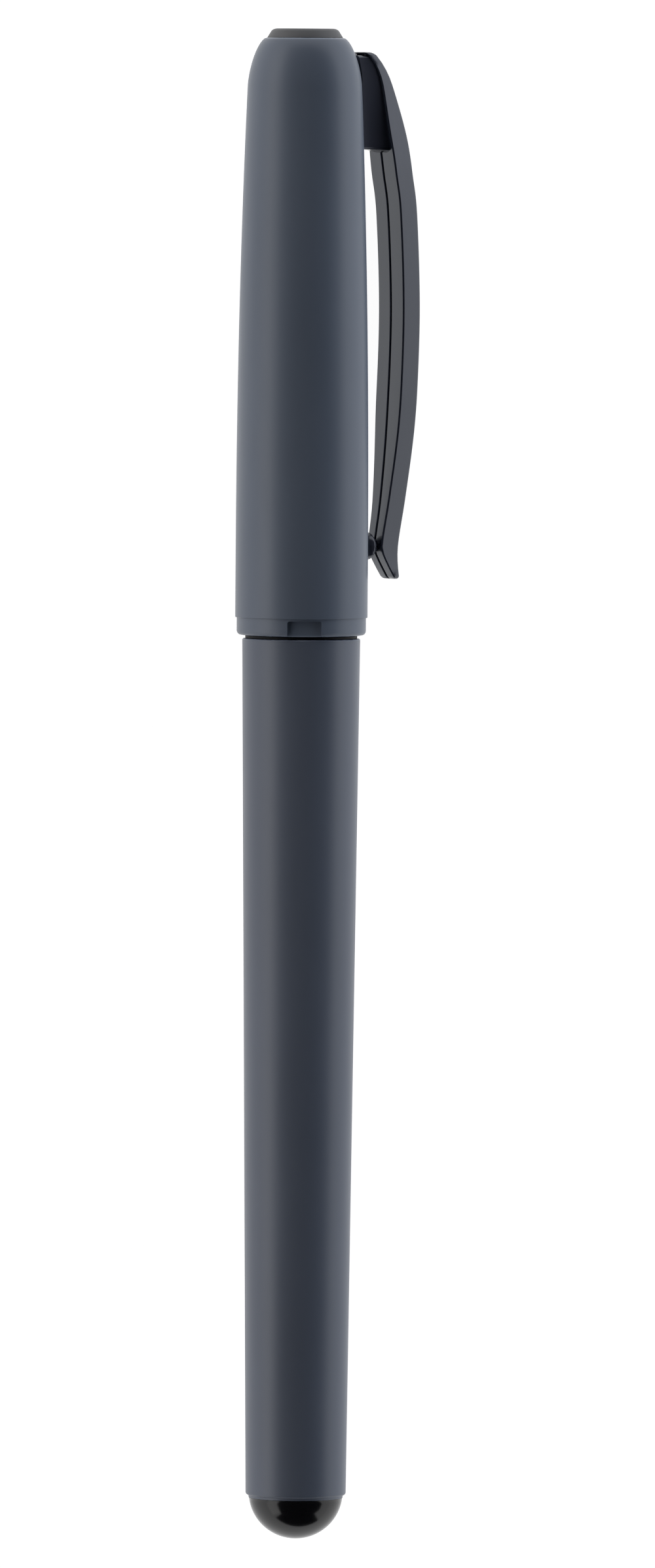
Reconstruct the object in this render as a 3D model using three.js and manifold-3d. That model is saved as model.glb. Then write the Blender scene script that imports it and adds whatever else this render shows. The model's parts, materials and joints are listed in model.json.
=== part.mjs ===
// A capped permanent marker, lying on a table on its cap and its clip.
// Millimetres, +Z up. The long axis runs along X, with the cap's closed end towards +X.
// Stations are distances along the pen from the tip of its tail dome, radii are from its long axis.
import * as THREE from "three";
import { mergeVertices } from "three/addons/utils/BufferGeometryUtils.js";
import Module from "manifold-3d";

const wasm = await Module();
wasm.setup();

// Lengths along the pen, from the tail to the closed end of the cap
const tailDomeHeight = 3.7;
const tailRimHeight = 0.05;
const barrelLength = 77.95;
const neckLength = 6.3;
const gripLength = 15;
const sealLength = 6;
const holderConeLength = 9.3;
const nibProud = 3.7;
const nibRoom = 2.2;
const innerCapEndWall = 1.2;
const capHeadLength = 10.75;
const plugHeadHeight = 0.85;

// Barrel and its tail plug
const barrelTailRadius = 4.55;
const barrelShoulderRadius = 5.35;
const barrelTailEdge = 0.22;
const tailLipHeight = 0.25;
const tailLipRadius = 4.3;
const barrelShoulderEdge = 0.15;
const neckRadius = 4.93;
const neckWall = 0.83;
const tailDomeRadius = 4.27;
const tailDomeAxis = 4.2;
const tailSpigotLength = 5;
const tailPostRadius = 1.6;
const tailPostLength = 2.4;

// Ink reservoir, its film wrap and the wick
const reservoirRadius = 3.28;
const wrapThickness = 0.15;
const wickRadius = 1;
const wickDepth = 8;

// Front section, nib holder and nib
const spigotLength = 14;
const gripRadius = 4.85;
const gripFrontRadius = 4.1;
const sealRadius = 3.6;
const sectionFrontWall = 6;
const socketDepth = 5;
const socketWall = 0.9;
const holderBaseRadius = 3.3;
const holderTipRadius = 1.75;
const nibRadius = 1.1;
const nibTipRadius = 0.45;
const nibTaperLength = 2.6;
const nibDepth = 12.3;
const turnedEdge = 0.2;

// Collar ring between the barrel and the cap
const collarThickness = 0.4;
const collarWidth = 0.25;

// Cap shell
const capMouthBore = 5.08;
const mouthBoreRunout = 0.6;
const lipRadius = 5.86;
const lipHeight = 1.6;
const lipEdge = 0.4;
const capWidestRadius = 6;
const capWidestSetback = 6;
const capShoulderSetback = 4.6;
const capShoulderRadius = 5.19;
const capShoulderRoundness = 1.6;
const capRimRadius = 3.52;
const capFlareSteepness = 2.2;
const capWall = 0.92;
const capRoofThickness = 2.75;
const capRoofSlope = 1.1;
const notchCount = 3;
const notchWidth = 3.1;
const notchHeight = 1.4;
const notchDepth = 0.44;
const notchCorner = 0.2;

// Inner cap, which seals the nib
const innerCapFlange = 1.7;
const innerCapSealOverlap = 2.7;
const innerCapWall = 0.62;
const innerCapEndRadius = 3.2;
const innerCapEndBore = 1.8;
const innerCapTaperLength = 8;

// Top plug, which closes the cap
const plugHeadRadius = 3.45;
const plugFaceRadius = 2.5;
const plugEdgeHeight = 0.45;
const plugEdgeWidth = 0.65;
const plugSpigotRadius = 3.15;
const plugStemRadius = 2.3;

// Pocket clip: its arm, root block, tongue in the cap's slot, and nub
const clipTopSetback = 1.25;
const clipLength = 47.8;
const clipThickness = 2.05;
const clipTopThickness = 1;
const clipTipThickness = 0.65;
const clipTopTaper = 8.5;
const clipTipTaper = 2.7;
const clipHalfWidth = 1.98;
const clipTopHalfWidth = 1.15;
const clipTipHalfWidth = 1.1;
const clipTopWidening = 11;
const clipTipNarrowing = 14;
const grooveWidth = 0.42;
const grooveDepth = 0.35;
const rootTopInset = 0.3;
const rootBlockLength = 8.5;
const rootBlockWidth = 2.4;
const tongueSetback = 2.2;
const tongueLength = 3;
const tongueWidth = 1.6;
const tongueInnerRadius = 2.95;
const tongueBarb = 1.2;
const clipSwing = 3;
const nubFromTip = 3;
const nubRadius = 1.25;
const nubDomeHeight = 1;
const nubFlareHeight = 0.72;
const nubNeckRadius = 0.56;
// The arm's outer line: share of the clip's length below its top, rise above the cap's widest wall
const clipOuterLine = [
  [0, 0.7],
  [0.012, 1.42],
  [0.046, 2.48],
  [0.1, 3.35],
  [0.163, 4.12],
  [0.23, 4.63],
  [0.31, 5.17],
  [0.498, 5.52],
  [0.697, 5.16],
  [0.845, 4.53],
  [0.944, 3.86],
  [1, 4],
];

// Clearances
const fitGap = 0.05;
const filmGap = 0.02;
const runningGap = 0.1;
const seatGap = 0.3;
const nubGap = 0.12;

// Facets
const roundSegments = 32;
const cornerSteps = 3;
const domeSteps = 8;
const capBodySteps = 8;
const gripSteps = 6;
const armSteps = 32;
const rootSteps = 6;
const nubSegments = 16;
const nubSteps = 4;

// Stations that follow from the lengths
const barrelTail = tailDomeHeight + tailRimHeight;
const barrelShoulder = barrelTail + barrelLength;
const neckEnd = barrelShoulder + neckLength;
const spigotRear = neckEnd - spigotLength;
const sealStart = neckEnd + gripLength;
const sectionFront = sealStart + sealLength;
const holderTip = sectionFront + holderConeLength;
const nibTip = holderTip + nibProud;
const nibRear = holderTip - nibDepth;
const capMouth = barrelShoulder + collarThickness;
const innerCapFloor = nibTip + nibRoom;
const innerCapEnd = innerCapFloor + innerCapEndWall;
const innerCapMouth = sectionFront - innerCapSealOverlap;
const innerCapSeat = innerCapMouth + innerCapFlange;
const capRim = innerCapEnd + capHeadLength;
const capRoof = capRim - capRoofThickness;
const penEnd = capRim + plugHeadHeight;
const clipTop = capRim - clipTopSetback;
const clipTip = clipTop - clipLength;
const nubStation = clipTip + nubFromTip;
const clipHinge = clipTop - tongueSetback - tongueLength;
const rootTop = clipTop - rootTopInset;
const rootBottom = rootTop - rootBlockLength;

// Radii that follow from the fits
const wrapRadius = reservoirRadius + filmGap + wrapThickness;
const barrelBore = wrapRadius + runningGap;
const neckBore = neckRadius - neckWall;
const capBore = gripRadius + runningGap;
const innerCapBore = sealRadius + runningGap;
const innerCapRadius = innerCapBore + innerCapWall;
const cavityRadius = innerCapRadius + fitGap;
const wickBore = wickRadius + runningGap;
const nibBore = nibRadius + fitGap;

// The clip's edge and the cap's widest wall touch the table together: the clip hangs this far below level.
const bulgeRadius = capWidestRadius + Math.max(...clipOuterLine.map(([, rise]) => rise));
const clipAngle =
  Math.asin(capWidestRadius / Math.hypot(bulgeRadius, clipHalfWidth)) -
  Math.atan2(clipHalfWidth, bulgeRadius);
const clipTurn = Math.PI + clipAngle;

const smooth = (t) => THREE.MathUtils.smoothstep(t, 0, 1);
const steps = (count, place) =>
  Array.from({ length: count + 1 }, (_, i) => place(i / count));

// Points [station, radius] on an ellipse arc, its angles in degrees from the +station direction
function arc(station, radius, along, across, from, to, count) {
  return steps(count, (t) => {
    const angle = THREE.MathUtils.degToRad(from + (to - from) * t);
    return [
      station + along * Math.cos(angle),
      radius + across * Math.sin(angle),
    ];
  });
}

// A turned shape: its profile of [station, radius] runs tail to cap on the outside and back on the inside.
function turned(profile, segments = roundSegments) {
  const points = profile.map(
    ([station, radius]) => new THREE.Vector2(radius, station),
  );
  return new THREE.LatheGeometry(points, segments).rotateZ(-Math.PI / 2);
}

const tube = (outer, inner) => turned([...outer, ...inner, outer[0]]);

function toSolid(geometry) {
  const bare = geometry.clone();
  bare.deleteAttribute("normal");
  bare.deleteAttribute("uv");
  const merged = mergeVertices(bare, 1e-4);
  return new wasm.Manifold(
    new wasm.Mesh({
      numProp: 3,
      vertProperties: merged.attributes.position.array,
      triVerts: new Uint32Array(merged.index.array),
    }),
  );
}

function toGeometry(solid) {
  const { vertProperties, triVerts } = solid.getMesh();
  const geometry = new THREE.BufferGeometry();
  geometry.setAttribute("position", new THREE.BufferAttribute(vertProperties, 3));
  geometry.setIndex(new THREE.BufferAttribute(triVerts, 1));
  geometry.computeVertexNormals();
  return geometry;
}

// A flat outline of [station, height], given a width centred on the pen's middle plane
function plate(outline, width) {
  const shape = new THREE.Shape(outline.map(([x, y]) => new THREE.Vector2(x, y)));
  return new THREE.ExtrudeGeometry(shape, {
    depth: width,
    bevelEnabled: false,
  }).translate(0, 0, -width / 2);
}

function block(fromStation, toStation, fromHeight, toHeight, width) {
  return plate(
    [
      [fromStation, fromHeight],
      [toStation, fromHeight],
      [toStation, toHeight],
      [fromStation, toHeight],
    ],
    width,
  );
}

function finish(color, roughness, metalness = 0) {
  return new THREE.MeshStandardMaterial({ color, roughness, metalness });
}

function piece(name, geometry, material) {
  const mesh = new THREE.Mesh(geometry, material);
  mesh.name = name;
  return mesh;
}

// Barrel group

function makeBarrel() {
  const outer = [
    [barrelTail, barrelBore],
    [barrelTail, tailDomeRadius],
    [barrelTail + tailLipHeight, tailLipRadius],
    ...arc(
      barrelTail + tailLipHeight + barrelTailEdge,
      barrelTailRadius - barrelTailEdge,
      barrelTailEdge,
      barrelTailEdge,
      180,
      90,
      cornerSteps,
    ),
    ...arc(
      barrelShoulder - barrelShoulderEdge,
      barrelShoulderRadius - barrelShoulderEdge,
      barrelShoulderEdge,
      barrelShoulderEdge,
      90,
      0,
      cornerSteps,
    ),
    [barrelShoulder, neckRadius],
    [neckEnd, neckRadius],
  ];
  const inner = [
    [neckEnd, neckBore],
    [spigotRear - fitGap, neckBore],
    [spigotRear - fitGap, barrelBore],
  ];
  return piece("barrel", tube(outer, inner), finish(0x4b535d, 0.5));
}

function makeTailPlug() {
  const spigotRadius = barrelBore - fitGap;
  const spigotEnd = barrelTail + tailSpigotLength;
  // The dome is an ellipsoid's end, a little less than half of it.
  const domeEnd = THREE.MathUtils.radToDeg(Math.acos(tailDomeHeight / tailDomeAxis - 1));
  const profile = [
    ...arc(tailDomeAxis, 0, tailDomeAxis, tailDomeRadius, 180, domeEnd, domeSteps),
    [barrelTail, tailDomeRadius],
    [barrelTail, spigotRadius],
    [spigotEnd, spigotRadius],
    [spigotEnd, tailPostRadius],
    [spigotEnd + tailPostLength, tailPostRadius],
    [spigotEnd + tailPostLength, 0],
  ];
  return piece("tail_plug", turned(profile), finish(0x0d0d10, 0.12));
}

function makeCollarRing() {
  const inside = neckRadius + fitGap;
  const outside = neckRadius + collarWidth;
  const geometry = tube(
    [
      [barrelShoulder, outside],
      [capMouth, outside],
    ],
    [
      [capMouth, inside],
      [barrelShoulder, inside],
    ],
  );
  return piece("collar_ring", geometry, finish(0x101114, 0.4));
}

// The reservoir lies against the tail plug's post and stops short of the section's front wall.
const reservoirTail = barrelTail + tailSpigotLength + tailPostLength + fitGap;
const reservoirFront = sealStart - sectionFrontWall + fitGap * 2;

function makeReservoir() {
  const wickRear = reservoirFront - wickDepth;
  const profile = [
    [reservoirTail, 0],
    [reservoirTail, reservoirRadius],
    [reservoirFront, reservoirRadius],
    [reservoirFront, wickRadius + filmGap],
    [wickRear, wickRadius + filmGap],
    [wickRear, 0],
  ];
  return piece("ink_reservoir", turned(profile), finish(0x2b2b33, 0.95));
}

function makeReservoirWrap() {
  const geometry = tube(
    [
      [reservoirTail, wrapRadius],
      [reservoirFront, wrapRadius],
    ],
    [
      [reservoirFront, reservoirRadius + filmGap],
      [reservoirTail, reservoirRadius + filmGap],
    ],
  );
  return piece("reservoir_wrap", geometry, finish(0xd8dadd, 0.25));
}

function makeWick() {
  const rear = reservoirFront - wickDepth + filmGap;
  const profile = [
    [rear, 0],
    [rear, wickRadius],
    [nibRear - filmGap, wickRadius],
    [nibRear - filmGap, 0],
  ];
  return piece("transfer_wick", turned(profile), finish(0x26262e, 0.9));
}

function makeFrontSection() {
  const guideStart = reservoirFront + fitGap;
  const socketFloor = sectionFront - socketDepth;
  const socketRadius = sealRadius - socketWall;
  const outer = [
    [spigotRear, neckBore - fitGap],
    [neckEnd, neckBore - fitGap],
    [neckEnd, gripRadius - turnedEdge],
    ...arc(neckEnd + turnedEdge, gripRadius - turnedEdge, turnedEdge, turnedEdge, 180, 90, cornerSteps),
    ...steps(gripSteps, (t) => [
      neckEnd + turnedEdge + (gripLength - turnedEdge) * t,
      THREE.MathUtils.lerp(gripRadius, gripFrontRadius, smooth(t)),
    ]).slice(1),
    [sealStart, sealRadius],
    ...arc(sectionFront - turnedEdge, sealRadius - turnedEdge, turnedEdge, turnedEdge, 90, 0, cornerSteps),
  ];
  const inner = [
    [sectionFront, socketRadius],
    [socketFloor, socketRadius],
    [socketFloor, wickBore],
    [guideStart, wickBore],
    [guideStart, barrelBore],
    [spigotRear, barrelBore],
  ];
  return piece("front_section", tube(outer, inner), finish(0x16171a, 0.35));
}

function makeNibHolder() {
  const socketRadius = sealRadius - socketWall;
  const rear = sectionFront - socketDepth + fitGap;
  const outer = [
    [rear, socketRadius - fitGap],
    [sectionFront, socketRadius - fitGap],
    [sectionFront, holderBaseRadius],
    ...arc(sectionFront + turnedEdge, holderBaseRadius - turnedEdge, turnedEdge, turnedEdge, 90, 45, 1),
    [holderTip - turnedEdge, holderTipRadius],
    [holderTip, holderTipRadius - turnedEdge],
  ];
  const inner = [
    [holderTip, nibBore],
    [rear, nibBore],
  ];
  return piece("nib_holder", tube(outer, inner), finish(0x16171a, 0.3));
}

function makeNib() {
  const profile = [
    [nibRear, 0],
    [nibRear, nibRadius],
    [nibTip - nibTaperLength, nibRadius],
    ...arc(nibTip - nibTipRadius, 0, nibTipRadius, nibTipRadius, 70, 0, cornerSteps),
  ];
  return piece("writing_nib", turned(profile), finish(0x1c1c22, 0.8));
}

// Cap group

// The cap's wall outside, from its widest place to its rim
function capRadius(station) {
  const shoulder = capRim - capShoulderSetback;
  if (station <= shoulder) {
    const from = capMouth + capWidestSetback;
    const t = Math.max(0, (station - from) / (shoulder - from));
    return capWidestRadius - (capWidestRadius - capShoulderRadius) * t ** capFlareSteepness;
  }
  const t = Math.min(1, (station - shoulder) / capShoulderSetback);
  const round = (1 - t ** capShoulderRoundness) ** (1 / capShoulderRoundness);
  return capRimRadius + (capShoulderRadius - capRimRadius) * round;
}

function makeCapShell() {
  const shoulder = capRim - capShoulderSetback;
  const widest = capMouth + capWidestSetback;
  const plugHole = plugSpigotRadius + fitGap;
  const outer = [
    [capMouth, capMouthBore],
    ...arc(capMouth + lipEdge, lipRadius - lipEdge, lipEdge, lipEdge, 180, 90, cornerSteps),
    [capMouth + lipHeight, lipRadius],
    [capMouth + lipHeight, capWidestRadius],
    ...steps(capBodySteps, (t) => {
      const station = widest + (shoulder - widest) * t;
      return [station, capRadius(station)];
    }),
    ...steps(domeSteps, (t) => {
      const station = shoulder + capShoulderSetback * Math.sin((t * Math.PI) / 2);
      return [station, capRadius(station)];
    }).slice(1),
  ];
  const inner = [
    [capRim, plugHole],
    [capRoof, plugHole],
    [capRoof - capRoofSlope, cavityRadius],
    [innerCapSeat, cavityRadius],
    [innerCapSeat, capBore],
    [neckEnd + mouthBoreRunout, capBore],
    [neckEnd + mouthBoreRunout, capMouthBore],
  ];
  const slot = block(
    clipHinge - seatGap,
    clipHinge + tongueLength + seatGap,
    tongueInnerRadius,
    capWidestRadius + capWall,
    tongueWidth + 2 * seatGap,
  ).rotateX(clipTurn);
  let shell = toSolid(tube(outer, inner)).subtract(toSolid(slot));
  for (let i = 0; i < notchCount; i++) {
    const turn = clipTurn + (i * 2 * Math.PI) / notchCount;
    shell = shell.subtract(toSolid(makeNotch().rotateX(turn)));
  }
  return piece("cap_shell", toGeometry(shell), finish(0x4b535d, 0.55));
}

// A notch in the lip: open at the cap's mouth, its two far corners rounded
function makeNotch() {
  const half = notchWidth / 2;
  const end = capMouth + notchHeight;
  const outline = [
    [capMouth - notchHeight, -half],
    ...arc(end - notchCorner, notchCorner - half, notchCorner, notchCorner, -90, 0, cornerSteps),
    ...arc(end - notchCorner, half - notchCorner, notchCorner, notchCorner, 0, 90, cornerSteps),
    [capMouth - notchHeight, half],
  ];
  // The outline lies flat: the notch's flat floor is below the lip, and all outside it is cut away.
  const depth = capWidestRadius;
  return plate(outline, depth)
    .rotateX(Math.PI / 2)
    .translate(0, lipRadius - notchDepth + depth / 2, 0);
}

function makeCapTopPlug() {
  const profile = [
    [innerCapEnd + seatGap, 0],
    [innerCapEnd + seatGap, plugStemRadius],
    [capRoof, plugStemRadius],
    [capRoof, plugSpigotRadius],
    [capRim, plugSpigotRadius],
    [capRim, plugHeadRadius],
    ...arc(penEnd - plugEdgeHeight, plugFaceRadius, plugEdgeHeight, plugEdgeWidth, 60, 0, cornerSteps),
    [penEnd, 0],
  ];
  return piece("cap_top_plug", turned(profile), finish(0x505154, 0.45));
}

function makeInnerCap() {
  const taperStart = innerCapEnd - innerCapTaperLength;
  const profile = [
    [innerCapFloor, 0],
    [innerCapFloor, innerCapEndBore],
    [taperStart, innerCapBore],
    [innerCapMouth, innerCapBore],
    [innerCapMouth, capBore - fitGap],
    [innerCapSeat, capBore - fitGap],
    [innerCapSeat, innerCapRadius],
    [taperStart, innerCapRadius],
    [innerCapEnd, innerCapEndRadius],
    [innerCapEnd, 0],
  ];
  return piece("inner_cap", turned(profile), finish(0xc9ccd1, 0.4));
}

// Clip group, drawn with the arm along +Y from the pen's axis and turned to its place about X

const clipOuter = new THREE.SplineCurve(
  clipOuterLine.map(([share, rise]) => new THREE.Vector2(share * clipLength, capWidestRadius + rise)),
);

// The arm's outer line as [distance below the clip's top, radius], at even steps of length
const armLine = clipOuter.getSpacedPoints(armSteps).map(({ x, y }) => [x, y]);

function armThickness(below) {
  const fromTip = Math.min(1, (clipLength - below) / clipTipTaper);
  const top = THREE.MathUtils.lerp(clipTopThickness, clipThickness, smooth(below / clipTopTaper));
  const tip = THREE.MathUtils.lerp(clipTipThickness, clipThickness, fromTip);
  return Math.min(top, tip);
}

function armHalfWidth(below) {
  const overNub = clipLength - nubFromTip - below;
  const top = THREE.MathUtils.lerp(clipTopHalfWidth, clipHalfWidth, smooth(below / clipTopWidening));
  const tip = THREE.MathUtils.lerp(clipTipHalfWidth, clipHalfWidth, smooth(overNub / clipTipNarrowing));
  return Math.min(top, tip);
}

function makeArm() {
  const outer = armLine.map(([below, radius]) => [clipTop - below, radius]);
  const inner = armLine.map(([below, radius]) => [clipTop - below, radius - armThickness(below)]);
  const side = toSolid(plate([...outer, ...inner.toReversed()], 4 * clipHalfWidth));
  const near = armLine.map(([below]) => [clipTop - below, -armHalfWidth(below)]);
  const far = armLine.map(([below]) => [clipTop - below, armHalfWidth(below)]);
  const reach = 2 * bulgeRadius;
  const plan = toSolid(plate([...near, ...far.toReversed()], reach).rotateX(Math.PI / 2));
  const groove = armLine
    .filter(([below]) => below > clipTop - rootBottom)
    .map(([below, radius]) => [clipTop - below, radius - armThickness(below)]);
  const cut = [
    ...groove.map(([station, radius]) => [station, radius + grooveDepth]),
    ...groove.toReversed().map(([station, radius]) => [station, radius - grooveDepth]),
  ];
  return side.intersect(plan).subtract(toSolid(plate(cut, grooveWidth)));
}

function makeClip() {
  // The root block stands off the cap's wall by more above the hinge, because it dips there as the arm lifts.
  const swing = Math.tan(THREE.MathUtils.degToRad(clipSwing));
  const wallLine = steps(rootSteps, (t) => {
    const station = THREE.MathUtils.lerp(rootBottom, rootTop, t);
    const dip = Math.max(0, station - clipHinge) * swing;
    return [station, capRadius(station) + seatGap + dip];
  });
  const armSide = armLine
    .map(([below, radius]) => [clipTop - below, radius - armThickness(below) / 2])
    .filter(([station]) => station < rootTop && station > rootBottom);
  const foot = [rootBottom, armSide.at(-1)[1]];
  const root = plate([...wallLine, ...armSide, foot], rootBlockWidth);
  const tongue = block(
    clipHinge,
    clipHinge + tongueLength,
    tongueInnerRadius,
    capWidestRadius + capWall,
    tongueWidth,
  );
  const barb = block(
    clipHinge - tongueBarb,
    clipHinge + tongueLength,
    tongueInnerRadius,
    cavityRadius - 2 * seatGap,
    tongueWidth,
  );
  // The nub stands on the cap's wall, and its neck ends inside the arm, above the underside.
  const nubFoot = capRadius(nubStation) + nubGap;
  const [, overNub] = armLine.findLast(([below]) => clipTop - below > nubStation);
  const neckTop = overNub - clipThickness / 2 - nubFoot;
  const nubProfile = [
    ...arc(nubDomeHeight, 0, nubDomeHeight, nubRadius, 180, 90, nubSteps),
    [nubDomeHeight + nubFlareHeight, nubNeckRadius],
    [neckTop, nubNeckRadius],
    [neckTop, 0],
  ];
  const nub = turned(nubProfile, nubSegments).rotateZ(Math.PI / 2).translate(nubStation, nubFoot, 0);
  const solid = makeArm()
    .add(toSolid(root))
    .add(toSolid(tongue))
    .add(toSolid(barb))
    .add(toSolid(nub));
  return piece("pocket_clip", toGeometry(solid), finish(0x3a3c46, 0.25));
}

const barrelGroup = new THREE.Group();
barrelGroup.add(
  makeBarrel(),
  makeTailPlug(),
  makeCollarRing(),
  makeReservoir(),
  makeReservoirWrap(),
  makeWick(),
  makeFrontSection(),
  makeNibHolder(),
  makeNib(),
);

const capGroup = new THREE.Group();
capGroup.add(makeCapShell(), makeCapTopPlug(), makeInnerCap());

const clipGroup = new THREE.Group();
clipGroup.rotation.x = clipTurn;
clipGroup.add(makeClip());
capGroup.add(clipGroup);

// The origin is on the table, under the middle of the marker's outline seen from above.
const marker = new THREE.Group();
marker.add(barrelGroup, capGroup);
const outline = new THREE.Box3().setFromObject(marker, true);
const middle = outline.getCenter(new THREE.Vector3());
marker.position.set(-middle.x, -middle.y, -outline.min.z);

export default marker;
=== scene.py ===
"""A capped permanent marker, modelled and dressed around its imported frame.

Lengths in the classes are millimetres. Pieces are shaped along the pen's own axis, with stations
counted from the tip of the tail dome, and each mesh is brought to its place in metres at the end.
"""
import json
import logging
import math
from bisect import bisect_left
from dataclasses import dataclass, field, replace
from enum import Enum
from typing import Any, Callable, Sequence

import bmesh
import bpy
from mathutils import Matrix, Vector


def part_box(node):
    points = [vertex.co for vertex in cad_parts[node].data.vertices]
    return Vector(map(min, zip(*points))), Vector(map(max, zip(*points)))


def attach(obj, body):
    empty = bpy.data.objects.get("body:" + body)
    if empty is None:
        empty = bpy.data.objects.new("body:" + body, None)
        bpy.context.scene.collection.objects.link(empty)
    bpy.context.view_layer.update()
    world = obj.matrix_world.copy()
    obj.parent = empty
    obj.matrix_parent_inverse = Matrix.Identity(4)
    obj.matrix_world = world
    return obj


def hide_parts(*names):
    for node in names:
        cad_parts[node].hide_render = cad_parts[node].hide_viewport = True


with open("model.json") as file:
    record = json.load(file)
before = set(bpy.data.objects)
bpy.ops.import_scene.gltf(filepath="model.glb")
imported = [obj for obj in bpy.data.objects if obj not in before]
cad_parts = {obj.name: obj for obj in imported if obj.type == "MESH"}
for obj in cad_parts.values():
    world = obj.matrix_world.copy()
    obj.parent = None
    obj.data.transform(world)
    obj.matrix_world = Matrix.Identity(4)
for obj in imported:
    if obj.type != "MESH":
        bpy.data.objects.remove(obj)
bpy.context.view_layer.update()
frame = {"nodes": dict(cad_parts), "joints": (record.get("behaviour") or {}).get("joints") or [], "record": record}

MM = 0.001
PHOTO_HEIGHT = 2393
ALONG = Vector((1, 0, 0))

# In millimetres: how close two vertices are merged, and the gap of a press fit.
SAME_PLACE = 1e-5
PRESS_FIT = 0.05

# Decimals to which points are matched, and steps in the roundings of outlines and blocks.
SAME_DIGITS = 4
CORNER_SEGMENTS = 4
BLOCK_SEGMENTS = 2

log = logging.getLogger("marker")

Colour = tuple[float, float, float]
Outline = list["Corner"]


class Join(Enum):
    """How one solid is combined with another."""

    ADD = "UNION"
    CUT = "DIFFERENCE"


@dataclass(frozen=True)
class Corner:
    """A corner of a turned outline, and how far along its sides its edge is rounded."""

    station: float
    radius: float
    rounding: float = 0.0


@dataclass(frozen=True)
class Pen:
    """Where the pen's axis and its clip lie in the frame, in metres and radians."""

    tail: Vector
    clip_turn: float

    @classmethod
    def from_frame(cls) -> "Pen":
        """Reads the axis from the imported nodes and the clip's turn from its hinge.

        Returns:
            The pen's place.
        """
        low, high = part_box("barrel")
        middle = (low + high) / 2
        hinge = next(joint for joint in frame["joints"] if joint["name"] == "clip_flex")
        _, across, up = hinge["axis"]
        tail = Vector((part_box("tail_plug")[0].x, middle.y, middle.z))
        return cls(tail, math.atan2(across, -up))

    def span(self, node: str) -> tuple[float, float]:
        """Gives the stations between which a CAD node lies.

        Args:
            node: The node's name.

        Returns:
            Its lower and upper station.
        """
        low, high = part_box(node)
        return (low.x - self.tail.x) / MM, (high.x - self.tail.x) / MM

    def reach(self, node: str) -> float:
        """Gives the largest radius of a CAD node that is centred on the axis."""
        low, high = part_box(node)
        return (high.z - low.z) / 2 / MM

    def seat(self, turn: float = 0.0) -> Matrix:
        """Gives the matrix from the pen's millimetres to the frame.

        Args:
            turn: The angle about the axis, in radians, by which the +Y side is turned.

        Returns:
            The placing matrix.
        """
        return Matrix.Translation(self.tail) @ Matrix.Rotation(turn, 4, "X") @ Matrix.Scale(MM, 4)


def lerp(start: float, end: float, share: float) -> float:
    """Goes from one number to another by a share."""
    return start + (end - start) * share


def smooth(share: float) -> float:
    """Eases a share in and out, held between 0 and 1."""
    share = min(max(share, 0.0), 1.0)
    return share * share * (3 - 2 * share)


def shares(count: int) -> list[float]:
    """Gives even shares from 0 to 1 in that many steps."""
    return [step / count for step in range(count + 1)]


def quarter(count: int) -> list[tuple[float, float]]:
    """Gives the cosines and sines of even angles from 0 to 90 degrees."""
    angles = [math.pi / 2 * share for share in shares(count)]
    return [(math.cos(angle), math.sin(angle)) for angle in angles]


def arc(
    station: float, radius: float, along: float, across: float, start: float, end: float, count: int
) -> Outline:
    """Gives corners on an ellipse arc, for a turned outline.

    Args:
        station: Station of the ellipse's centre.
        radius: Radius of the ellipse's centre.
        along: Half axis along the pen.
        across: Half axis outwards.
        start: First angle in degrees, from the +station direction.
        end: Last angle in degrees.
        count: Number of steps.

    Returns:
        The corners from start to end.
    """
    angles = [math.radians(lerp(start, end, share)) for share in shares(count)]
    return [
        Corner(station + along * math.cos(angle), radius + across * math.sin(angle))
        for angle in angles
    ]


def curve_point(points: Sequence[Vector], share: float) -> Vector:
    """Gives a point on the smooth curve through some points.

    Args:
        points: The points that it goes through, with as much of the share between each two.
        share: How far along it is, from 0 to 1.

    Returns:
        The point.
    """
    last = len(points) - 1
    first = min(int(share * last), last - 1)
    before, start, end, after = (points[min(max(first + i, 0), last)] for i in (-1, 0, 1, 2))
    t = share * last - first
    lead, trail = (end - before) / 2, (after - start) / 2
    cubic = 2 * (start - end) + lead + trail
    square = 3 * (end - start) - 2 * lead - trail
    return cubic * t**3 + square * t**2 + lead * t + start


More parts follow.
